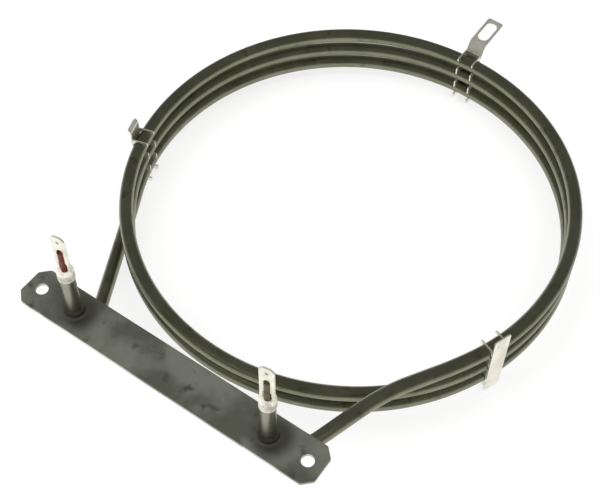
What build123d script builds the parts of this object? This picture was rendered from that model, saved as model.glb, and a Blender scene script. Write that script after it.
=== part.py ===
from build123d import *
import math
import os

os.makedirs("parts", exist_ok=True)

# Tubular heating element for a fan oven: one sheathed tube wound into a ring of nearly
# three turns, with both ends brought up through a fixing flange, and three spring clips
# that hold the turns apart.
#
# Frame: millimetres, +Z up. The origin is the middle of the flange's mounting face, half way
# between its two fixing holes. +X runs along the flange, +Y points at the ring's centre, and
# the terminals stand up along +Z.

# ------------------------------------------------------------------ driving dimensions
# Sheathed tube
tube_d = 6.5                # outer diameter of the sheath
sheath_wall = 0.6
winding_d = 2.8             # outer diameter of the resistance winding and of the cold pins
packing_gap = 0.05          # radial play between the pieces packed inside the sheath

# Ring
ring_r = 104.0              # radius of the tube's centreline
ring_clearance = 14.75      # in plan, between the flange's edge and the ring
turn_pitch = 9.2            # height between the centrelines of neighbouring turns
first_turn_depth = 16.0     # from the mounting face down to the start of the top turn
full_turns = 2              # whole turns, besides the last part turn between the legs

# Legs and posts
post_height = 24.5          # sheath end above the mounting face
post_depth = 33.0           # corner of the bend below the mounting face
lower_post_bend_r = 30.0    # under the post whose leg comes from the bottom turn
upper_post_bend_r = 17.0    # under the post whose leg comes from the top turn
lead_length = 8.0           # straight run that carries on from the ring before a leg turns
lead_bend_share = 0.85      # share of that run taken up by the slight bend at its end
knee_run = 42.0             # along the upper leg, in plan, from the ring to its knee
knee_rise = 6.0             # knee above the start of the top turn
knee_bend_r = 40.0
cold_run = 38.0             # cold pin beyond the corner of the bend, along its leg

# Flange
fixing_hole_spacing = 136.0
hole_to_end = 7.0           # from a fixing hole's centre to the flange's end
hole_to_post = 18.5         # from a fixing hole's centre to its post's centreline
flange_width = 19.0
flange_t = 1.5
flange_corner_cut = 4.0
flange_corner_r = 1.5
fixing_hole_d = 5.5
collar_height = 2.6         # drawn collar above the mounting face
collar_wall = 0.8
collar_root_r = 1.2
collar_lead_in = 0.6        # rounding where the drawn hole starts on the underside
braze_gap = 0.15            # radial gap between collar and sheath, filled with braze
braze_leg = 0.7             # size of the braze fillet on top of the collar

# Terminal ends
seal_length = 5.0
spigot_length = 4.0         # ceramic bush inside the sheath
bush_d = 7.2
bush_height = 5.0
bush_edge = 0.6
bush_bore_play = 0.05
pin_top_above_bush = 12.0
pin_flat_width = 2.6        # across the two coined flats that the tab grips
tab_yaw = 10.0              # turn of each tab about its post
tab_width = 6.3
tab_t = 0.8
tab_height = 21.5
tab_corner_cut = 1.6
tab_foot_gap = 3.8          # between the two feet of the tab
tab_foot_height = 5.0
tab_slot_height = 13.5      # top of the slot above the tab's feet
tab_dimple_d = 1.6
tab_dimple_drop = 3.4       # dimple hole below the tab's top

# Spring clips
clip_t = 0.6
clip_width = 8.6
clip_seat_play = 0.2        # radial play between a clip and the tubes it holds
clip_bend_r = 0.3           # inside radius of the channel's two folds
clip_throat = 5.2           # opening of each notch, narrower than the tube it snaps over
clip_tip_reach = 0.9        # finger tips beyond the inner side of the tubes
clip_foot = 2.0             # lowest finger below the lowest tube
clip_tip_r = 0.9            # rounding of the fingers' outermost corners
top_finger_height = 1.2     # top finger above the top tube, at its tip
strip_bend_r = 1.4
plain_clip_angle = -20.5    # about the ring's axis, anticlockwise from +X
eyelet_clip_angle = 88.5
lipped_clip_angle = 197.0
strip_corner_r = 1.2
plain_strip_up = 11.8       # top of the plain clip's back above the top tube's axis
plain_foot = 3.6            # tongue of the plain clip's back below its lowest finger
flare_start = 2.5           # where the eyelet's strip leans out, above the top tube's axis
flare_out = 3.6
flare_up = 6.2
eyelet_length = 17.0
eyelet_rise = 1.7
eyelet_slot_length = 12.6
eyelet_slot_width = 5.8
eyelet_end_margin = 2.2     # from the slot to the strip's end
lip_start = 8.8             # where the lip leans out, above the top tube's axis
lip_out = 1.4
lip_up = 2.0

# ------------------------------------------------------------------ derived sizes
tube_r = tube_d / 2
bore_r = tube_r - sheath_wall
winding_r = winding_d / 2
flange_length = fixing_hole_spacing + 2 * hole_to_end
post_x = fixing_hole_spacing / 2 - hole_to_post
ring_centre_y = flange_width / 2 + ring_clearance + tube_r + ring_r
post_distance = math.hypot(post_x, ring_centre_y)
leg_half_angle = math.degrees(
    math.atan2(post_x, ring_centre_y) + math.acos(ring_r / post_distance)
)
upper_leg_angle = leg_half_angle - 90
wound_angle = 360 * full_turns + 360 - 2 * leg_half_angle
wound_height = turn_pitch * wound_angle / 360
coil_bottom_z = -first_turn_depth - wound_height
bush_foot_z = post_height
bush_top_z = bush_foot_z + bush_height
seal_top_z = post_height - spigot_length
fill_top_z = seal_top_z - seal_length
collar_bore_r = tube_r + braze_gap
collar_r = collar_bore_r + collar_wall
collar_foot_r = collar_r + collar_root_r


# ------------------------------------------------------------------ centrelines
def ring_helix():
    """Centreline of the wound turns, from the lower leg's end up to the upper leg's end."""
    turns = Helix(pitch=turn_pitch, height=wound_height, radius=ring_r, lefthand=True)
    return Pos(0, ring_centre_y, coil_bottom_z) * Rot(0, 0, upper_leg_angle + wound_angle) * turns


def lower_leg_points(helix):
    """Corner, lead and tangent points of the leg that leaves the bottom turn."""
    start = helix @ 0
    lead = start - (helix % 0) * lead_length
    corner = Vector(-post_x, 0, -post_depth)
    return [corner, lead, start]


def upper_leg_points(helix):
    """Tangent, lead, knee and corner points of the leg that leaves the top turn."""
    end = helix @ 1
    lead = end + (helix % 1) * lead_length
    corner = Vector(post_x, 0, -post_depth)
    run = Vector(corner.X - end.X, corner.Y - end.Y, 0).normalized()
    knee = end + run * knee_run + Vector(0, 0, knee_rise)
    return [end, lead, knee, corner]


def point_along(start, towards, distance):
    """The point that lies a distance from start on the line to another point."""
    return start + (towards - start).normalized() * distance


def lead_bend_r(before, corner, after):
    """Radius of the slight bend that takes up its share of the lead next to a corner."""
    turn = math.radians((corner - before).get_angle(after - corner))
    return lead_bend_share * lead_length / math.tan(turn / 2)


def full_centreline(top_z):
    """Whole centreline, from the left post at top_z round the ring to the right post."""
    helix = ring_helix()
    lower = [Vector(-post_x, 0, top_z), *lower_leg_points(helix)]
    upper = [*upper_leg_points(helix), Vector(post_x, 0, top_z)]
    lower_radii = [lower_post_bend_r, lead_bend_r(*lower[1:])]
    upper_radii = [lead_bend_r(*upper[:3]), knee_bend_r, upper_post_bend_r]
    lower_leg = FilletPolyline(*lower, radius=lower_radii)
    upper_leg = FilletPolyline(*upper, radius=upper_radii)
    return Wire([*lower_leg.edges(), *helix.edges(), *upper_leg.edges()])


def hot_centreline():
    """Centreline of the heated length, between the inner ends of the two cold pins."""
    helix = ring_helix()
    corner_a, lead_a, tangent_a = lower_leg_points(helix)
    tangent_b, lead_b, knee, corner_b = upper_leg_points(helix)
    pin_end_a = point_along(corner_a, lead_a, cold_run)
    pin_end_b = point_along(corner_b, knee, cold_run)
    lower_lead_r = lead_bend_r(corner_a, lead_a, tangent_a)
    upper_lead_r = lead_bend_r(tangent_b, lead_b, knee)
    lower_leg = FilletPolyline(pin_end_a, lead_a, tangent_a, radius=lower_lead_r)
    upper_leg = FilletPolyline(
        tangent_b, lead_b, knee, pin_end_b, radius=[upper_lead_r, knee_bend_r]
    )
    return Wire([*lower_leg.edges(), *helix.edges(), *upper_leg.edges()])


def cold_centreline(side):
    """Centreline of a cold pin, from its top through the bend to its inner end."""
    helix = ring_helix()
    if side < 0:
        corner, towards = lower_leg_points(helix)[:2]
        bend_r = lower_post_bend_r
    else:
        towards, corner = upper_leg_points(helix)[2:]
        bend_r = upper_post_bend_r
    top = Vector(side * post_x, 0, bush_top_z + pin_top_above_bush)
    inner = point_along(corner, towards, cold_run)
    return FilletPolyline(top, corner, inner, radius=bend_r)


def swept_tube(path, outer_r, inner_r=0.0):
    """Round bar or tube along a path."""
    section = Circle(outer_r)
    if inner_r > 0:
        section = section - Circle(inner_r)
    return sweep(Plane(origin=path @ 0, z_dir=path % 0) * section, path=path)


def turned(profile):
    """Solid turned about +Z from (radius, height) points."""
    return revolve(Plane.XZ * make_face(Polyline(*profile, close=True)), axis=Axis.Z)


# ------------------------------------------------------------------ tube and what it holds
def build_sheath():
    return swept_tube(full_centreline(post_height), tube_r, bore_r)


def build_filling():
    outer = bore_r - packing_gap
    inner = winding_r + packing_gap
    return swept_tube(full_centreline(fill_top_z), outer, inner)


def build_winding():
    return swept_tube(hot_centreline(), winding_r)


def build_pin(side):
    pin = swept_tube(cold_centreline(side), winding_r)
    coined_height = pin_top_above_bush - tab_foot_height
    flank = Box(winding_d, winding_d, coined_height, align=(Align.MIN, Align.CENTER, Align.MAX))
    top = Pos(side * post_x, 0, bush_top_z + pin_top_above_bush) * Rot(0, 0, tab_yaw)
    pin -= top * Pos(pin_flat_width / 2, 0, 0) * flank
    pin -= top * Rot(0, 0, 180) * Pos(pin_flat_width / 2, 0, 0) * flank
    return pin


# ------------------------------------------------------------------ terminal ends
def build_seal(side):
    ring = turned([
        (winding_r + packing_gap, fill_top_z),
        (bore_r - packing_gap, fill_top_z),
        (bore_r - packing_gap, seal_top_z),
        (winding_r + packing_gap, seal_top_z),
    ])
    return Pos(side * post_x, 0, 0) * ring


def build_bush(side):
    bore = winding_r + bush_bore_play
    spigot_r = bore_r - packing_gap
    bush_r = bush_d / 2
    body = turned([
        (bore, seal_top_z),
        (spigot_r, seal_top_z),
        (spigot_r, bush_foot_z),
        (bush_r, bush_foot_z),
        (bush_r, bush_top_z - bush_edge),
        (bush_r - bush_edge, bush_top_z),
        (bore, bush_top_z),
    ])
    return Pos(side * post_x, 0, 0) * body


def build_tab(side):
    half = tab_width / 2
    outline = Polyline(
        (-half, 0),
        (half, 0),
        (half, tab_height - tab_corner_cut),
        (half - tab_corner_cut, tab_height),
        (tab_corner_cut - half, tab_height),
        (-half, tab_height - tab_corner_cut),
        close=True,
    )
    face = make_face(outline)
    slot_straight = tab_slot_height - pin_flat_width / 2
    face -= Pos(0, tab_foot_height / 2) * Rectangle(tab_foot_gap, tab_foot_height)
    face -= Pos(0, slot_straight / 2) * Rectangle(pin_flat_width, slot_straight)
    face -= Pos(0, slot_straight) * Circle(pin_flat_width / 2)
    face -= Pos(0, tab_height - tab_dimple_drop) * Circle(tab_dimple_d / 2)
    blade = extrude(Plane.XZ * face, tab_t / 2, both=True)
    return Pos(side * post_x, 0, bush_top_z) * Rot(0, 0, tab_yaw) * blade


# ------------------------------------------------------------------ flange
def drawn_collar():
    """Collar drawn up from the plate, with a hollow rounding at its foot."""
    foot_width = collar_foot_r - collar_bore_r
    foot_height = flange_t + collar_root_r
    profile = Pos(collar_bore_r, -flange_t) * Rectangle(
        foot_width, foot_height, align=(Align.MIN, Align.MIN)
    )
    profile -= Pos(collar_foot_r, collar_root_r) * Circle(collar_root_r)
    profile += Pos(collar_bore_r, 0) * Rectangle(
        collar_wall, collar_height, align=(Align.MIN, Align.MIN)
    )
    return revolve(Plane.XZ * profile, axis=Axis.Z)


def build_flange():
    plate_outline = Rectangle(flange_length, flange_width)
    plate_outline = chamfer(plate_outline.vertices(), flange_corner_cut)
    plate_outline = fillet(plate_outline.vertices(), flange_corner_r)
    plate = extrude(plate_outline, -flange_t)
    for side in (-1, 1):
        post = Pos(side * post_x, 0, 0)
        plate += post * drawn_collar()
        plate -= post * Cylinder(collar_bore_r, 4 * (flange_t + collar_height))
        plate -= post * turned([
            (0, -flange_t),
            (collar_bore_r + collar_lead_in, -flange_t),
            (collar_bore_r, collar_lead_in - flange_t),
            (0, collar_lead_in - flange_t),
        ])
        plate -= Pos(side * fixing_hole_spacing / 2, 0, 0) * Cylinder(fixing_hole_d / 2, 4 * flange_t)
    return plate


def build_braze(side):
    ring = turned([
        (tube_r, collar_lead_in - flange_t),
        (collar_bore_r, collar_lead_in - flange_t),
        (collar_bore_r, collar_height),
        (tube_r + braze_leg, collar_height),
        (tube_r, collar_height + braze_leg),
    ])
    return Pos(side * post_x, 0, 0) * ring


# ------------------------------------------------------------------ spring clips
# Each clip is drawn in its own axes: X outward from the tubes' centreline, Y along the tube
# and Z up, with Z = 0 at the axis of the top tube.
back_inner = tube_r + clip_seat_play
back_outer = back_inner + clip_t
tip_inner = -(tube_r + clip_tip_reach)
notch_r = tube_r + clip_seat_play
lowest_tube_z = -full_turns * turn_pitch
clip_bottom_z = lowest_tube_z - tube_r - clip_foot
finger_tip_z = tube_r + top_finger_height


def clip_channel():
    """Folded channel: its back, and two comb-like walls with a notch for each tube."""
    half = clip_width / 2
    outer_face = make_face(Polyline(
        (tip_inner, -half),
        (back_outer, -half),
        (back_outer, half),
        (tip_inner, half),
        close=True,
    ))
    outer_face = fillet(outer_face.vertices().group_by(Axis.X)[-1], clip_bend_r + clip_t)
    room = make_face(Polyline(
        (tip_inner - clip_t, clip_t - half),
        (back_inner, clip_t - half),
        (back_inner, half - clip_t),
        (tip_inner - clip_t, half - clip_t),
        close=True,
    ))
    room = fillet(room.vertices().group_by(Axis.X)[-1], clip_bend_r)
    height = finger_tip_z - clip_bottom_z
    bar = Pos(0, 0, clip_bottom_z) * extrude(outer_face - room, height)

    side_view = make_face(Polyline(
        (tip_inner, clip_bottom_z),
        (back_outer, clip_bottom_z),
        (back_outer, finger_tip_z),
        (tip_inner, finger_tip_z),
        close=True,
    ))
    side_view = fillet(side_view.vertices().group_by(Axis.X)[0], clip_tip_r)
    for turn in range(full_turns + 1):
        tube_z = -turn * turn_pitch
        side_view -= Pos(0, tube_z) * Circle(notch_r)
        mouth = Rectangle(2 * tube_d, clip_throat, align=(Align.MAX, Align.CENTER))
        side_view -= Pos(0, tube_z) * mouth
    walls = extrude(Plane.XZ * side_view, clip_width, both=True)
    return bar & walls


def clip_strip(points, bend_r):
    """Strip of sheet along (outward, up) points, with rounded corners at its far end."""
    line = FilletPolyline(*points, radius=bend_r)
    strip = extrude(Plane.XZ * trace(line, line_width=clip_t), clip_width / 2, both=True)
    end = Vector(points[-1][0], 0, points[-1][1])
    corners = [e for e in strip.edges() if is_end_corner(e, end)]
    return fillet(corners, strip_corner_r)


def is_end_corner(edge, end):
    """True for a short edge across the sheet, beside the strip's far end."""
    offset = edge.center() - end
    beside = abs(abs(offset.Y) - clip_width / 2) < clip_t / 10
    return beside and math.hypot(offset.X, offset.Z) < clip_t / 10


def place_clip(clip, angle):
    """Carry a clip from its own axes to its place on the ring."""
    along = (angle - upper_leg_angle) % 360
    top_tube_z = -first_turn_depth - turn_pitch * along / 360
    return Pos(0, ring_centre_y, top_tube_z) * Rot(0, 0, angle) * Pos(ring_r, 0, 0) * clip


strip_x = (back_inner + back_outer) / 2


def clip_tongue(height):
    """Flat tongue of sheet in the plane of a clip's back, with rounded top corners."""
    outline = Rectangle(clip_width, height, align=(Align.CENTER, Align.MIN))
    outline = fillet(outline.vertices().group_by(Axis.Y)[-1], strip_corner_r)
    back_plane = Plane(origin=(back_inner, 0, 0), x_dir=(0, 1, 0), z_dir=(1, 0, 0))
    return extrude(back_plane * outline, clip_t)


def build_plain_clip():
    clip = clip_channel() + clip_tongue(plain_strip_up)
    clip += mirror(clip_tongue(plain_foot - clip_bottom_z), about=Plane.XY)
    return place_clip(clip, plain_clip_angle)


def build_eyelet_clip():
    knee = (strip_x + flare_out, flare_start + flare_up)
    end = (knee[0] + eyelet_length, knee[1] + eyelet_rise)
    points = [(strip_x, 0), (strip_x, flare_start), knee, end]
    clip = clip_channel() + clip_strip(points, strip_bend_r)
    lean = math.degrees(math.atan2(eyelet_rise, eyelet_length))
    slot = extrude(SlotOverall(eyelet_slot_length, eyelet_slot_width), 2 * clip_t, both=True)
    inset = eyelet_end_margin + eyelet_slot_length / 2
    clip -= Pos(end[0], 0, end[1]) * Rot(0, -lean, 0) * Pos(-inset, 0, 0) * slot
    return place_clip(clip, eyelet_clip_angle)


def build_lipped_clip():
    points = [(strip_x, 0), (strip_x, lip_start), (strip_x + lip_out, lip_start + lip_up)]
    clip = clip_channel() + clip_strip(points, strip_bend_r)
    return place_clip(clip, lipped_clip_angle)


# ------------------------------------------------------------------ all sub-parts
nodes = {
    "sheath_tube": build_sheath(),
    "magnesia_filling": build_filling(),
    "resistance_winding": build_winding(),
    "fixing_flange": build_flange(),
    "plain_clip": build_plain_clip(),
    "eyelet_clip": build_eyelet_clip(),
    "lipped_clip": build_lipped_clip(),
}
for side, name in ((-1, "left"), (1, "right")):
    nodes[f"cold_pin_{name}"] = build_pin(side)
    nodes[f"end_seal_{name}"] = build_seal(side)
    nodes[f"ceramic_bush_{name}"] = build_bush(side)
    nodes[f"terminal_tab_{name}"] = build_tab(side)
    nodes[f"braze_ring_{name}"] = build_braze(side)

for name, solid in nodes.items():
    export_step(solid, f"parts/{name}.step")
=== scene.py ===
"""Dresses a ring-shaped tubular heating element for its studio picture.

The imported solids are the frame: metres, +Z up, with the origin in the middle of the flange's
mounting face. Each class below stands for one sub-assembly of the element, one finish or the
studio, holds its own sizes and builds itself.
"""

import logging
import math
from dataclasses import dataclass, field, replace
from enum import Enum

import bpy
from mathutils import Matrix, Vector

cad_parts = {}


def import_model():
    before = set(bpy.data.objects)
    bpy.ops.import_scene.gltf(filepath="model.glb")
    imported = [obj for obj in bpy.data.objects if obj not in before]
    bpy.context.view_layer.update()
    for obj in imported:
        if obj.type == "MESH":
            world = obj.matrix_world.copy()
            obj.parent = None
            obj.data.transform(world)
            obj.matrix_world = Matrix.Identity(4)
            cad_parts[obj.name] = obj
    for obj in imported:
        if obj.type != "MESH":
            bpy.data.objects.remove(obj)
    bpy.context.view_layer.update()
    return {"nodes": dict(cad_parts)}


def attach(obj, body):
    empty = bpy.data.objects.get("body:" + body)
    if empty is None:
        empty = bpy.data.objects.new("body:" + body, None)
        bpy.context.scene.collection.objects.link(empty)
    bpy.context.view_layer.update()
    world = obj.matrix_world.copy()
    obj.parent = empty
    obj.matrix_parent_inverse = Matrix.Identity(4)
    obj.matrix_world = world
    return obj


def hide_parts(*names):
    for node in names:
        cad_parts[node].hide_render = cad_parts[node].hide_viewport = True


LOG = logging.getLogger("heating_element")
MM = 0.001
POST_SPACING = 99.0 * MM

Colour = tuple[float, float, float]
Place = tuple[float, float, float]
Span = tuple[float, float]
Socket = bpy.types.NodeSocket
Tree = bpy.types.NodeTree


# ------------------------------------------------------------------ shader nodes
def noise(tree: Tree, place: Socket, scale: float, octaves: float) -> Socket:
    """Adds a noise texture.

    Args:
        tree: node tree of the material.
        place: coordinates of the pattern.
        scale: scale of the noise, per metre.
        octaves: octaves of the noise.

    Returns:
        The socket with the noise's value.
    """
    texture = tree.nodes.new("ShaderNodeTexNoise")
    texture.inputs["Scale"].default_value = scale
    texture.inputs["Detail"].default_value = octaves
    tree.links.new(place, texture.inputs["Vector"])
    return texture.outputs["Fac"]


def rise(tree: Tree, value: Socket, given: Span, wanted: Span = (0.0, 1.0)) -> Socket:
    """Maps a value smoothly from one range to another.

    Args:
        tree: node tree of the material.
        value: socket with the value.
        given: start and end of the value's range.
        wanted: results at the start and the end.

    Returns:
        The socket with the result.
    """
    ramp = tree.nodes.new("ShaderNodeMapRange")
    ramp.interpolation_type = "SMOOTHSTEP"
    ramp.inputs["From Min"].default_value = given[0]
    ramp.inputs["From Max"].default_value = given[1]
    ramp.inputs["To Min"].default_value = wanted[0]
    ramp.inputs["To Max"].default_value = wanted[1]
    tree.links.new(value, ramp.inputs["Value"])
    return ramp.outputs["Result"]


def mixed(tree: Tree, factor: Socket, first: Colour | Socket, second: Colour | Socket) -> Socket:
    """Mixes two colours.

    Args:
        tree: node tree of the material.
        factor: socket that is 0 for the first colour and 1 for the second.
        first: a colour or a socket with one.
        second: a colour or a socket with one.

    Returns:
        The socket with the mixed colour.
    """
    mix = tree.nodes.new("ShaderNodeMix")
    mix.data_type = "RGBA"
    tree.links.new(factor, mix.inputs["Factor"])
    sockets = [socket for socket in mix.inputs if socket.type == "RGBA"]
    for colour, socket in zip((first, second), sockets):
        if isinstance(colour, tuple):
            socket.default_value = (*colour, 1.0)
        else:
            tree.links.new(colour, socket)
    return next(socket for socket in mix.outputs if socket.type == "RGBA")


def combined(tree: Tree, operation: str, first: Socket, second: Socket | float) -> Socket:
    """Adds a Math node on two values.

    Args:
        tree: node tree of the material.
        operation: the node's operation.
        first: socket with the first value.
        second: a number or a socket with one.

    Returns:
        The socket with the result.
    """
    node = tree.nodes.new("ShaderNodeMath")
    node.operation = operation
    tree.links.new(first, node.inputs[0])
    if isinstance(second, float):
        node.inputs[1].default_value = second
    else:
        tree.links.new(second, node.inputs[1])
    return node.outputs["Value"]


def distance(tree: Tree, place: Socket, centre: Place) -> Socket:
    """Measures how far a place is from a fixed point.

    Args:
        tree: node tree of the material.
        place: socket with the place.
        centre: the fixed point.

    Returns:
        The socket with the distance.
    """
    reach = tree.nodes.new("ShaderNodeVectorMath")
    reach.operation = "DISTANCE"
    reach.inputs[1].default_value = centre
    tree.links.new(place, reach.inputs[0])
    return reach.outputs["Value"]


# ------------------------------------------------------------------ finishes
class Grain(Enum):
    """Which way a finish is brushed, rolled or drawn."""

    NONE = (1.0, 1.0, 1.0)
    ALONG_X = (0.04, 1.0, 1.0)
    ALONG_Z = (1.0, 1.0, 0.04)
    ALONG_TUBE = (0.03, 1.0, 1.0)


@dataclass(frozen=True)
class Finish:
    """A procedural surface finish.

    Args:
        name: name of the material.
        base: main linear colour.
        worn: colour of the patches that heat or handling has changed.
        metallic: metallic value of the shader.
        roughness: lowest and highest roughness.
        patch_scale: scale of the colour patches, per metre.
        patch_range: values of the noise where base starts to give way and where worn is reached.
        grain: which way the fine grain runs.
        grain_scale: scale of the fine grain, per metre.
        grain_depth: depth of the grain's bump, in metres.
        stain: colour of the small stains.
        stain_range: values of the noise where the stains start and where they are full.
        stain_scale: scale of the stains, per metre.
        patch_octaves: octaves of the patches' noise.
        grain_octaves: octaves of the grain's noise.
        stain_octaves: octaves of the stains' noise.
    """

    name: str
    base: Colour
    worn: Colour
    metallic: float = 1.0
    roughness: Span = (0.3, 0.45)
    patch_scale: float = 60.0
    patch_range: Span = (0.4, 0.65)
    grain: Grain = Grain.NONE
    grain_scale: float = 2500.0
    grain_depth: float = 0.02 * MM
    stain: Colour | None = None
    stain_range: Span = (0.6, 0.75)
    stain_scale: float = 250.0
    patch_octaves: float = 5.0
    grain_octaves: float = 3.0
    stain_octaves: float = 8.0

    def material(self) -> bpy.types.Material:
        """Builds the node material.

        Returns:
            The Blender material.
        """
        made = bpy.data.materials.new(self.name)
        made.use_nodes = True
        tree = made.node_tree
        shader = tree.nodes["Principled BSDF"]
        shader.inputs["Metallic"].default_value = self.metallic
        place = self.place(tree)
        patches = noise(tree, place, self.patch_scale, self.patch_octaves)
        colour = mixed(tree, rise(tree, patches, self.patch_range), self.base, self.worn)
        colour = self.tinted(tree, place, colour)
        tree.links.new(colour, shader.inputs["Base Color"])
        spread = rise(tree, patches, (0.0, 1.0), self.roughness)
        tree.links.new(spread, shader.inputs["Roughness"])
        stretch = tree.nodes.new("ShaderNodeMapping")
        stretch.inputs["Scale"].default_value = self.grain.value
        tree.links.new(place, stretch.inputs["Vector"])
        bump = tree.nodes.new("ShaderNodeBump")
        bump.inputs["Strength"].default_value = 1.0
        bump.inputs["Distance"].default_value = self.grain_depth
        height = noise(tree, stretch.outputs["Vector"], self.grain_scale, self.grain_octaves)
        tree.links.new(height, bump.inputs["Height"])
        tree.links.new(bump.outputs["Normal"], shader.inputs["Normal"])
        return made

    def place(self, tree: Tree) -> Socket:
        """Adds the coordinates that the pattern is laid on.

        Args:
            tree: node tree of the material.

        Returns:
            The socket with the coordinates.
        """
        return tree.nodes.new("ShaderNodeTexCoord").outputs["Object"]

    def tinted(self, tree: Tree, place: Socket, colour: Socket) -> Socket:
        """Lays the stains, if the finish has any, over the colour.

        Args:
            tree: node tree of the material.
            place: coordinates of the pattern.
            colour: colour so far.

        Returns:
            The socket with the stained colour.
        """
        if self.stain is None:
            return colour
        spots = noise(tree, place, self.stain_scale, self.stain_octaves)
        return mixed(tree, rise(tree, spots, self.stain_range), colour, self.stain)


@dataclass(frozen=True)
class TubeFinish(Finish):
    """The finish of a drawn tube whose ends stay brighter than its hot length.

    Args:
        end_colour: colour of the ends.
        end_run: distances from an end where its colour starts to fade and where it is gone.
        length: length of the tube.
    """

    end_colour: Colour = (0.4, 0.4, 0.34)
    end_run: Span = (45.0 * MM, 75.0 * MM)
    length: float = 2.0

    def place(self, tree: Tree) -> Socket:
        """Adds the coordinates along and around the tube.

        Args:
            tree: node tree of the material.

        Returns:
            The socket with the coordinates.
        """
        along = tree.nodes.new("ShaderNodeAttribute")
        along.attribute_name = "tube_place"
        return along.outputs["Vector"]

    def tinted(self, tree: Tree, place: Socket, colour: Socket) -> Socket:
        """Lays the brighter ends over the stained colour.

        Args:
            tree: node tree of the material.
            place: coordinates of the pattern.
            colour: colour so far.

        Returns:
            The socket with the colour.
        """
        colour = super().tinted(tree, place, colour)
        split = tree.nodes.new("ShaderNodeSeparateXYZ")
        tree.links.new(place, split.inputs["Vector"])
        near_start = rise(tree, split.outputs["X"], self.end_run, (1.0, 0.0))
        far_run = (self.length - self.end_run[1], self.length - self.end_run[0])
        near_end = rise(tree, split.outputs["X"], far_run)
        for share in (near_start, near_end):
            colour = mixed(tree, share, colour, self.end_colour)
        return colour


@dataclass(frozen=True)
class PostShadowFinish(Finish):
    """The finish of a plate with a painted contact shadow beside each of its posts.

    Args:
        shadow_colour: colour of the painted shadow beside the posts.
        shadow_run: distances from a painted shadow's middle where it starts to fade and where it is
            gone.
        heat_shift: distances in X and Y from a post to the middle of its painted shadow.
        post_spacing: distance between the posts.
    """

    shadow_colour: Colour = (0.2, 0.2, 0.16)
    shadow_run: Span = (4.5 * MM, 12.0 * MM)
    heat_shift: Span = (2.0 * MM, 1.0 * MM)
    post_spacing: float = POST_SPACING

    def tinted(self, tree: Tree, place: Socket, colour: Socket) -> Socket:
        """Lays the painted contact shadows beside the posts over the stained colour.

        Args:
            tree: node tree of the material.
            place: coordinates of the pattern.
            colour: colour so far.

        Returns:
            The socket with the colour.
        """
        colour = super().tinted(tree, place, colour)
        # Painted shade: a contact shadow round each post, shifted towards +X, darkens the plate.
        for post in (-self.post_spacing / 2, self.post_spacing / 2):
            reach = distance(tree, place, (post + self.heat_shift[0], self.heat_shift[1], 0.0))
            share = rise(tree, reach, self.shadow_run, (1.0, 0.0))
            colour = mixed(tree, share, colour, self.shadow_colour)
        return colour


SHEATH = TubeFinish(
    "sheath_oxide", (0.196, 0.205, 0.135), (0.245, 0.249, 0.174), metallic=0.97,
    roughness=(0.27, 0.41), patch_scale=45.0, grain=Grain.ALONG_TUBE, grain_scale=1400.0,
    grain_depth=0.007 * MM, stain=(0.14, 0.142, 0.09), stain_range=(0.58, 0.74),
    stain_scale=190.0, end_colour=(0.30, 0.305, 0.235),
)
# The flange has its own stains and worn patches, plus a painted contact shadow beside each post.
FLANGE = PostShadowFinish(
    "flange_sheet", (0.62, 0.635, 0.54), (0.34, 0.35, 0.28), metallic=0.95,
    roughness=(0.3, 0.5), patch_scale=42.0, patch_range=(0.40, 0.62), grain=Grain.ALONG_X,
    grain_scale=2200.0, grain_depth=0.012 * MM, stain=(0.20, 0.20, 0.15),
    stain_range=(0.55, 0.74), stain_scale=130.0,
)
CERAMIC = Finish(
    "fired_ceramic", (0.84, 0.81, 0.71), (0.52, 0.48, 0.40), metallic=0.0, roughness=(0.45, 0.65),
    patch_scale=320.0, patch_range=(0.47, 0.7), grain_scale=3000.0, grain_depth=0.03 * MM,
)
TAB = Finish(
    "tab_nickel", (0.94, 0.925, 0.80), (0.80, 0.78, 0.66), metallic=0.75, roughness=(0.26, 0.4),
    patch_scale=150.0, grain=Grain.ALONG_Z, grain_scale=3000.0,
)
PIN = Finish(
    "pin_dulled", (0.14, 0.13, 0.085), (0.13, 0.05, 0.03), metallic=0.7, roughness=(0.4, 0.6),
    patch_scale=260.0, patch_range=(0.5, 0.7), grain=Grain.ALONG_Z, grain_scale=3000.0,
)
BROWNED_PIN = Finish(
    "pin_browned", (0.21, 0.034, 0.02), (0.07, 0.035, 0.022), metallic=0.5, roughness=(0.35, 0.6),
    patch_scale=650.0, patch_range=(0.46, 0.56), grain_scale=3000.0,
)
CLIP = Finish(
    "clip_spring_sheet", (0.92, 0.905, 0.785), (0.76, 0.745, 0.64), metallic=0.86,
    roughness=(0.26, 0.4), patch_scale=120.0, grain=Grain.ALONG_Z, grain_scale=2800.0,
    stain=(0.50, 0.48, 0.38), stain_range=(0.62, 0.74), stain_scale=420.0,
)
BRAZE = Finish(
    "braze_bead", (0.12, 0.115, 0.085), (0.08, 0.07, 0.05), metallic=0.9, roughness=(0.3, 0.5),
    patch_scale=500.0, grain_scale=2500.0, grain_depth=0.04 * MM,
)
SEAL = Finish(
    "silicone_seal", (0.45, 0.1, 0.06), (0.36, 0.08, 0.05), metallic=0.0, roughness=(0.5, 0.6),
)
MAGNESIA = Finish(
    "magnesia_powder", (0.72, 0.70, 0.66), (0.6, 0.58, 0.54), metallic=0.0, roughness=(0.8, 0.9),
)
WINDING = Finish(
    "winding_wire", (0.22, 0.21, 0.2), (0.15, 0.14, 0.13), roughness=(0.35, 0.5),
)


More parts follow.
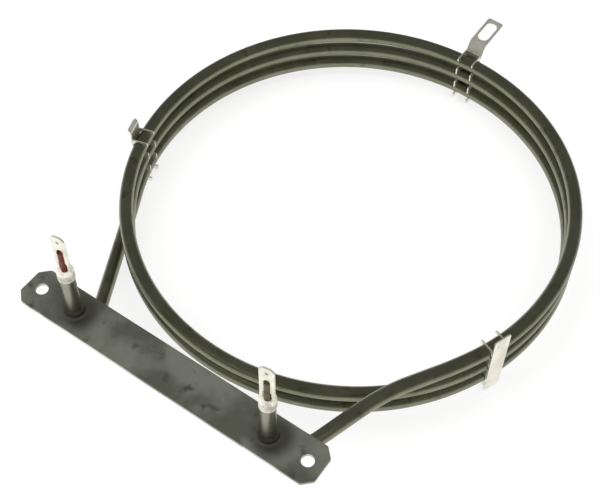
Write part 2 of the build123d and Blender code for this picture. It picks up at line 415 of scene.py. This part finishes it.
# ------------------------------------------------------------------ geometry helpers
def rounded_path(points: list[Vector], radii: list[float], step: float) -> list[Vector]:
    """Samples a polyline whose inner corners are rounded.

    Args:
        points: corners of the line.
        radii: bend radius of each inner corner.
        step: largest distance between two samples on a bend.

    Returns:
        The points along the path.
    """
    path = [points[0]]
    for before, corner, after, radius in zip(points, points[1:], points[2:], radii):
        into = (corner - before).normalized()
        out = (after - corner).normalized()
        turn = into.angle(out)
        cut = radius * math.tan(turn / 2)
        first = corner - into * cut
        axis = into.cross(out).normalized()
        centre = first + axis.cross(into) * radius
        count = max(2, math.ceil(radius * turn / step))
        for index in range(count + 1):
            spin = Matrix.Rotation(turn * index / count, 3, axis)
            path.append(centre + spin @ (first - centre))
    path.append(points[-1])
    return path


def bend_radius(before: Vector, corner: Vector, after: Vector, cut: float) -> float:
    """Works out the radius of a bend from the run that it takes up.

    Args:
        before: point before the corner.
        corner: the corner.
        after: point after the corner.
        cut: distance from the corner to where the bend starts.

    Returns:
        The bend radius.
    """
    turn = (corner - before).angle(after - corner)
    return cut / math.tan(turn / 2)


def subdivided(path: list[Vector], step: float) -> list[Vector]:
    """Adds samples to a path so that none lie further apart than step.

    Args:
        path: the points along the path.
        step: largest distance between two neighbours.

    Returns:
        The closer points.
    """
    filled = [path[0]]
    for point in path[1:]:
        start = filled[-1]
        gap = point - start
        count = max(1, math.ceil(gap.length / step))
        filled += [start + gap * (index / count) for index in range(1, count + 1)]
    return filled


# ------------------------------------------------------------------ the element
@dataclass
class WoundTube:
    """The sheath: two posts, two legs and the wound ring, as one swept tube.

    Args:
        finish: the surface finish.
        radius: outer radius of the tube.
        ring_radius: radius of the ring's centreline.
        ring_centre: distance of the ring's axis from the origin, along +Y.
        pitch: height between neighbouring turns.
        top_turn: height of the top turn's start.
        turns: whole turns besides the part turn between the legs.
        post_spacing: distance between the posts.
        post_top: height of the posts' ends.
        corner: height of the bends under the posts.
        post_bends: bend radii under the lower leg's post and the upper leg's post.
        lead: straight run between the ring and a leg's first bend.
        lead_bend: length of that run that its slight bend takes up.
        knee: run in plan and rise of the upper leg's knee.
        knee_bend: bend radius of the knee.
        ring_samples: samples on the ring's centreline.
        bend_step: largest distance between samples on a bend.
        straight_step: largest distance between samples elsewhere.
        sides: corners of the swept circle.
    """

    finish: TubeFinish = SHEATH
    radius: float = 3.25 * MM
    ring_radius: float = 104.0 * MM
    ring_centre: float = 131.5 * MM
    pitch: float = 9.2 * MM
    top_turn: float = -16.0 * MM
    turns: int = 2
    post_spacing: float = POST_SPACING
    post_top: float = 24.5 * MM
    corner: float = -33.0 * MM
    post_bends: Span = (30.0 * MM, 17.0 * MM)
    lead: float = 8.0 * MM
    lead_bend: float = 6.8 * MM
    knee: Span = (42.0 * MM, 6.0 * MM)
    knee_bend: float = 40.0 * MM
    ring_samples: int = 900
    bend_step: float = 1.2 * MM
    straight_step: float = 4.0 * MM
    sides: int = 40

    def ring(self) -> tuple[list[Vector], Vector, Vector]:
        """Samples the ring, from its low end to its high end.

        Returns:
            The points, and the direction of the tube, towards the leg, at each end.
        """
        half_gap = self.post_spacing / 2
        reach = math.hypot(half_gap, self.ring_centre)
        half = math.atan2(half_gap, self.ring_centre) + math.acos(self.ring_radius / reach)
        start = half - math.pi / 2
        wound = math.tau * (self.turns + 1) - 2 * half
        climb = self.pitch / math.tau
        points = []
        for index in range(self.ring_samples, -1, -1):
            angle = wound * index / self.ring_samples
            spoke = Vector((math.cos(start + angle), math.sin(start + angle), 0))
            level = Vector((0, self.ring_centre, self.top_turn - climb * angle))
            points.append(spoke * self.ring_radius + level)
        ends = []
        for angle, way in ((wound, -1), (0.0, 1)):
            along = Vector((math.sin(start + angle), -math.cos(start + angle), 0))
            along = along * self.ring_radius + Vector((0, 0, climb))
            ends.append(along.normalized() * way)
        return points, *ends

    def centreline(self) -> list[Vector]:
        """Samples the whole centreline.

        Returns:
            The points, from the left post to the right one.
        """
        ring, low_way, high_way = self.ring()
        half_gap = self.post_spacing / 2
        low_lead = ring[0] + low_way * self.lead
        low_corner = Vector((-half_gap, 0, self.corner))
        low = rounded_path(
            [Vector((-half_gap, 0, self.post_top)), low_corner, low_lead, ring[0]],
            [self.post_bends[0], bend_radius(low_corner, low_lead, ring[0], self.lead_bend)],
            self.bend_step,
        )
        corner = Vector((half_gap, 0, self.corner))
        run = corner - ring[-1]
        run.z = 0
        knee = ring[-1] + run.normalized() * self.knee[0] + Vector((0, 0, self.knee[1]))
        lead = ring[-1] + high_way * self.lead
        high = rounded_path(
            [ring[-1], lead, knee, corner, Vector((half_gap, 0, self.post_top))],
            [bend_radius(ring[-1], lead, knee, self.lead_bend), self.knee_bend, self.post_bends[1]],
            self.bend_step,
        )
        return subdivided(low[:-1] + ring + high[1:], self.straight_step)

    def sweep_group(self) -> bpy.types.NodeTree:
        """Builds the geometry nodes that sweep a circle along a path of edges.

        Returns:
            The node group, with the inputs Path, Radius, Sides and Finish.
        """
        group = bpy.data.node_groups.new("tube_sweep", "GeometryNodeTree")
        face = group.interface
        for name, kind in (
            ("Path", "NodeSocketGeometry"),
            ("Radius", "NodeSocketFloat"),
            ("Sides", "NodeSocketInt"),
            ("Finish", "NodeSocketMaterial"),
        ):
            face.new_socket(name, in_out="INPUT", socket_type=kind)
        face.new_socket("Tube", in_out="OUTPUT", socket_type="NodeSocketGeometry")
        nodes = group.nodes
        links = group.links
        given = nodes.new("NodeGroupInput")
        result = nodes.new("NodeGroupOutput")

        line = nodes.new("GeometryNodeMeshToCurve")
        links.new(given.outputs["Path"], line.inputs["Mesh"])
        spot = nodes.new("GeometryNodeSplineParameter")
        path = self.stored(group, line.outputs["Curve"], "FLOAT", "along", spot.outputs["Length"])
        circle = nodes.new("GeometryNodeCurvePrimitiveCircle")
        links.new(given.outputs["Sides"], circle.inputs["Resolution"])
        links.new(given.outputs["Radius"], circle.inputs["Radius"])
        where = nodes.new("GeometryNodeInputPosition")
        profile = self.stored(
            group, circle.outputs["Curve"], "FLOAT_VECTOR", "around", where.outputs["Position"]
        )
        sweep = nodes.new("GeometryNodeCurveToMesh")
        sweep.inputs["Fill Caps"].default_value = True
        links.new(path, sweep.inputs["Curve"])
        links.new(profile, sweep.inputs["Profile Curve"])

        along = self.read(group, "FLOAT", "along")
        split = nodes.new("ShaderNodeSeparateXYZ")
        links.new(self.read(group, "FLOAT_VECTOR", "around"), split.inputs["Vector"])
        place = nodes.new("ShaderNodeCombineXYZ")
        links.new(along, place.inputs["X"])
        links.new(split.outputs["X"], place.inputs["Y"])
        links.new(split.outputs["Y"], place.inputs["Z"])
        marked = self.stored(
            group, sweep.outputs["Mesh"], "FLOAT_VECTOR", "tube_place", place.outputs["Vector"]
        )
        solid = nodes.new("GeometryNodeRealizeInstances")
        links.new(marked, solid.inputs["Geometry"])
        paint = nodes.new("GeometryNodeSetMaterial")
        links.new(solid.outputs["Geometry"], paint.inputs["Geometry"])
        links.new(given.outputs["Finish"], paint.inputs["Material"])
        links.new(paint.outputs["Geometry"], result.inputs["Tube"])
        return group

    @staticmethod
    def stored(group: Tree, shape: Socket, kind: str, name: str, value: Socket) -> Socket:
        """Stores a value on the points of a shape.

        Args:
            group: the node group.
            shape: socket with the shape.
            kind: data type of the value.
            name: name of the attribute.
            value: socket with the value.

        Returns:
            The socket with the marked shape.
        """
        store = group.nodes.new("GeometryNodeStoreNamedAttribute")
        store.data_type = kind
        store.domain = "POINT"
        store.inputs["Name"].default_value = name
        group.links.new(shape, store.inputs["Geometry"])
        group.links.new(value, store.inputs["Value"])
        return store.outputs["Geometry"]

    @staticmethod
    def read(group: Tree, kind: str, name: str) -> Socket:
        """Reads a stored value.

        Args:
            group: the node group.
            kind: data type of the value.
            name: name of the attribute.

        Returns:
            The socket with the value.
        """
        reader = group.nodes.new("GeometryNodeInputNamedAttribute")
        reader.data_type = kind
        reader.inputs["Name"].default_value = name
        return reader.outputs["Attribute"]

    def build(self) -> bpy.types.Object:
        """Returns:
            The finished object.
        """
        path = self.centreline()
        length = sum((after - before).length for before, after in zip(path, path[1:]))
        mesh = bpy.data.meshes.new("sheath_path")
        mesh.from_pydata(path, [(index, index + 1) for index in range(len(path) - 1)], [])
        carrier = bpy.data.objects.new("sheath_path", mesh)
        bpy.context.scene.collection.objects.link(carrier)
        group = self.sweep_group()
        finish = replace(self.finish, length=length).material()
        values = {"Radius": self.radius, "Sides": self.sides, "Finish": finish}
        modifier = carrier.modifiers.new("sweep", "NODES")
        modifier.node_group = group
        for item in group.interface.items_tree:
            if item.in_out == "INPUT" and item.name in values:
                modifier[item.identifier] = values[item.name]
        depsgraph = bpy.context.evaluated_depsgraph_get()
        swept = bpy.data.meshes.new_from_object(carrier.evaluated_get(depsgraph))
        bpy.data.objects.remove(carrier)
        sheath = bpy.data.objects.new("sheath", swept)
        bpy.context.scene.collection.objects.link(sheath)
        # The wall is made of quads and turns smooth; the two end caps stay flat.
        for polygon in swept.polygons:
            polygon.use_smooth = len(polygon.vertices) == 4
        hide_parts("sheath_tube")
        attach(sheath, "root")
        LOG.info("sheath: %.0f mm long, %d faces", length / MM, len(swept.polygons))
        return sheath


@dataclass
class DressedNodes:
    """Solids of the frame that keep their shape and get a finish.

    Args:
        finishes: finish of each node.
    """

    finishes: dict[str, Finish] = field(default_factory=lambda: {
        "magnesia_filling": MAGNESIA,
        "resistance_winding": WINDING,
        "cold_pin_left": BROWNED_PIN,
        "cold_pin_right": PIN,
        "end_seal_left": SEAL,
        "end_seal_right": SEAL,
        "ceramic_bush_left": CERAMIC,
        "ceramic_bush_right": CERAMIC,
        "terminal_tab_left": TAB,
        "terminal_tab_right": TAB,
        "fixing_flange": FLANGE,
        "braze_ring_left": BRAZE,
        "braze_ring_right": BRAZE,
        "plain_clip": CLIP,
        "eyelet_clip": CLIP,
        "lipped_clip": CLIP,
    })

    def build(self, nodes: dict[str, bpy.types.Object]) -> None:
        """Gives each node its material.

        Args:
            nodes: the frame's objects by node name.
        """
        made = {}
        for name, finish in self.finishes.items():
            if finish not in made:
                made[finish] = finish.material()
            mesh = nodes[name].data
            mesh.materials.clear()
            mesh.materials.append(made[finish])
            LOG.info("%s: %s", name, finish.name)


# ------------------------------------------------------------------ studio
@dataclass(frozen=True)
class Lamp:
    """One soft box.

    Args:
        name: name of the lamp.
        place: position of the lamp.
        size: width of the lamp.
        power: power in watts.
    """

    name: str
    place: Place
    size: float
    power: float

    def build(self, target: Vector) -> None:
        """Builds the lamp, which lights matt surfaces only.

        Args:
            target: the point that the lamp is turned to.
        """
        data = bpy.data.lights.new(self.name, "AREA")
        data.shape = "SQUARE"
        data.size = self.size
        data.energy = self.power
        lamp = bpy.data.objects.new(self.name, data)
        lamp.location = self.place
        lamp.rotation_euler = (target - Vector(self.place)).to_track_quat("-Z", "Y").to_euler()
        lamp.visible_glossy = False
        bpy.context.scene.collection.objects.link(lamp)


@dataclass
class Studio:
    """Floor, lamps, room and camera.

    Args:
        floor_level: height of the floor in the frame.
        floor_size: width of the floor.
        paper: grey level of the floor.
        paper_roughness: roughness of the floor.
        paper_glow: strength that the camera and reflections see added to the floor.
        glow_run: distances from the target where that fades out of reflections.
        white_run: distances from the target where the floor turns plain white to the camera.
        room: brightness of the room by elevation in degrees.
        room_tint: colour of the room's light.
        target: the point that the lamps are turned to.
        lamps: the soft boxes.
        camera_place: position of the camera.
        heading: compass heading of the view, clockwise from +Y.
        dip: angle of the view under the horizon.
        roll: turn of the camera about its axis.
        lens: focal length in millimetres.
        sensor: width of the sensor in millimetres.
        nearest: distance in front of the camera where the picture starts.
    """

    floor_level: float = -45.9 * MM
    floor_size: float = 6.0
    paper: float = 0.4
    paper_roughness: float = 0.9
    paper_glow: float = 0.64
    glow_run: Span = (0.16, 0.36)
    white_run: Span = (0.3, 1.2)
    room: tuple[Span, ...] = ((0.0, 0.24), (20.0, 0.2), (90.0, 0.2))
    room_tint: Colour = (1.0, 1.0, 0.97)
    target: Place = (0.0, 0.1, 0.0)
    lamps: tuple[Lamp, ...] = (
        Lamp("top", (0.0, 0.1, 1.6), 2.4, 26.0),
        Lamp("key", (-0.9, -0.8, 0.7), 1.2, 13.0),
        Lamp("fill", (1.0, -0.5, 0.7), 1.2, 8.0),
    )
    camera_place: Place = (181.104 * MM, -171.113 * MM, 419.941 * MM)
    heading: float = -34.60
    dip: float = 54.10
    roll: float = 0.77
    lens: float = 72.402
    sensor: float = 36.0
    nearest: float = 10.0 * MM

    def build(self) -> None:
        """Builds the whole studio."""
        self.build_floor()
        self.build_room()
        for lamp in self.lamps:
            lamp.build(Vector(self.target))
        self.build_camera()
        bpy.context.scene.view_settings.view_transform = "Standard"
        LOG.info("studio: %d lamps", len(self.lamps))

    def build_floor(self) -> None:
        """Builds the pale floor."""
        half = self.floor_size / 2
        mesh = bpy.data.meshes.new("floor")
        corners = [(-half, -half), (half, -half), (half, half), (-half, half)]
        mesh.from_pydata([(x, y, self.floor_level) for x, y in corners], [], [(0, 1, 2, 3)])
        floor = bpy.data.objects.new("floor", mesh)
        bpy.context.scene.collection.objects.link(floor)
        paper = bpy.data.materials.new("paper")
        paper.use_nodes = True
        tree = paper.node_tree
        shader = tree.nodes["Principled BSDF"]
        shader.inputs["Base Color"].default_value = (self.paper, self.paper, self.paper, 1)
        shader.inputs["Roughness"].default_value = self.paper_roughness
        shader.inputs["Specular IOR Level"].default_value = 0.0
        shader.inputs["Emission Color"].default_value = (1, 1, 1, 1)
        rays = tree.nodes.new("ShaderNodeLightPath").outputs
        place = tree.nodes.new("ShaderNodeTexCoord").outputs["Object"]
        reach = distance(tree, place, self.target)
        near = rise(tree, reach, self.glow_run, (self.paper_glow, 0.0))
        mirrored = combined(tree, "MAXIMUM", rays["Is Glossy Ray"], rays["Is Transmission Ray"])
        mirrored = combined(tree, "MULTIPLY", mirrored, near)
        white = rise(tree, reach, self.white_run, (self.paper_glow, 1.0))
        seen = combined(tree, "MULTIPLY", rays["Is Camera Ray"], white)
        glow = combined(tree, "MAXIMUM", seen, mirrored)
        tree.links.new(glow, shader.inputs["Emission Strength"])
        mesh.materials.append(paper)

    def build_room(self) -> None:
        """Builds the world, a dim room in front of which the camera sees a white backdrop."""
        world = bpy.data.worlds.new("room")
        world.use_nodes = True
        tree = world.node_tree
        sky = tree.nodes["Background"]
        sky.inputs["Color"].default_value = (*self.room_tint, 1)
        view = tree.nodes.new("ShaderNodeTexCoord")
        split = tree.nodes.new("ShaderNodeSeparateXYZ")
        tree.links.new(view.outputs["Generated"], split.inputs["Vector"])
        ramp = tree.nodes.new("ShaderNodeValToRGB")
        stops = ramp.color_ramp.elements
        while len(stops) < len(self.room):
            stops.new(1.0)
        for stop, (elevation, level) in zip(stops, self.room):
            stop.position = math.sin(math.radians(elevation))
            stop.color = (level, level, level, 1)
        tree.links.new(split.outputs["Z"], ramp.inputs["Fac"])
        rays = tree.nodes.new("ShaderNodeLightPath").outputs
        level = combined(tree, "MAXIMUM", ramp.outputs["Color"], rays["Is Camera Ray"])
        tree.links.new(level, sky.inputs["Strength"])
        bpy.context.scene.world = world

    def build_camera(self) -> None:
        """Builds the camera."""
        data = bpy.data.cameras.new("camera")
        data.sensor_fit = "HORIZONTAL"
        data.sensor_width = self.sensor
        data.lens = self.lens
        data.clip_start = self.nearest
        camera = bpy.data.objects.new("camera", data)
        camera.location = self.camera_place
        turn = Matrix.Rotation(math.radians(-self.heading), 4, "Z")
        tilt = Matrix.Rotation(math.radians(90 - self.dip), 4, "X")
        spin = Matrix.Rotation(math.radians(self.roll), 4, "Z")
        camera.rotation_euler = (turn @ tilt @ spin).to_euler()
        bpy.context.scene.collection.objects.link(camera)
        bpy.context.scene.camera = camera


def main() -> None:
    """Builds the element and its studio in order."""
    logging.basicConfig(level=logging.INFO, format="%(name)s: %(message)s")
    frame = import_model()
    WoundTube().build()
    DressedNodes().build(frame["nodes"])
    Studio().build()


if __name__ == "__main__":
    main()
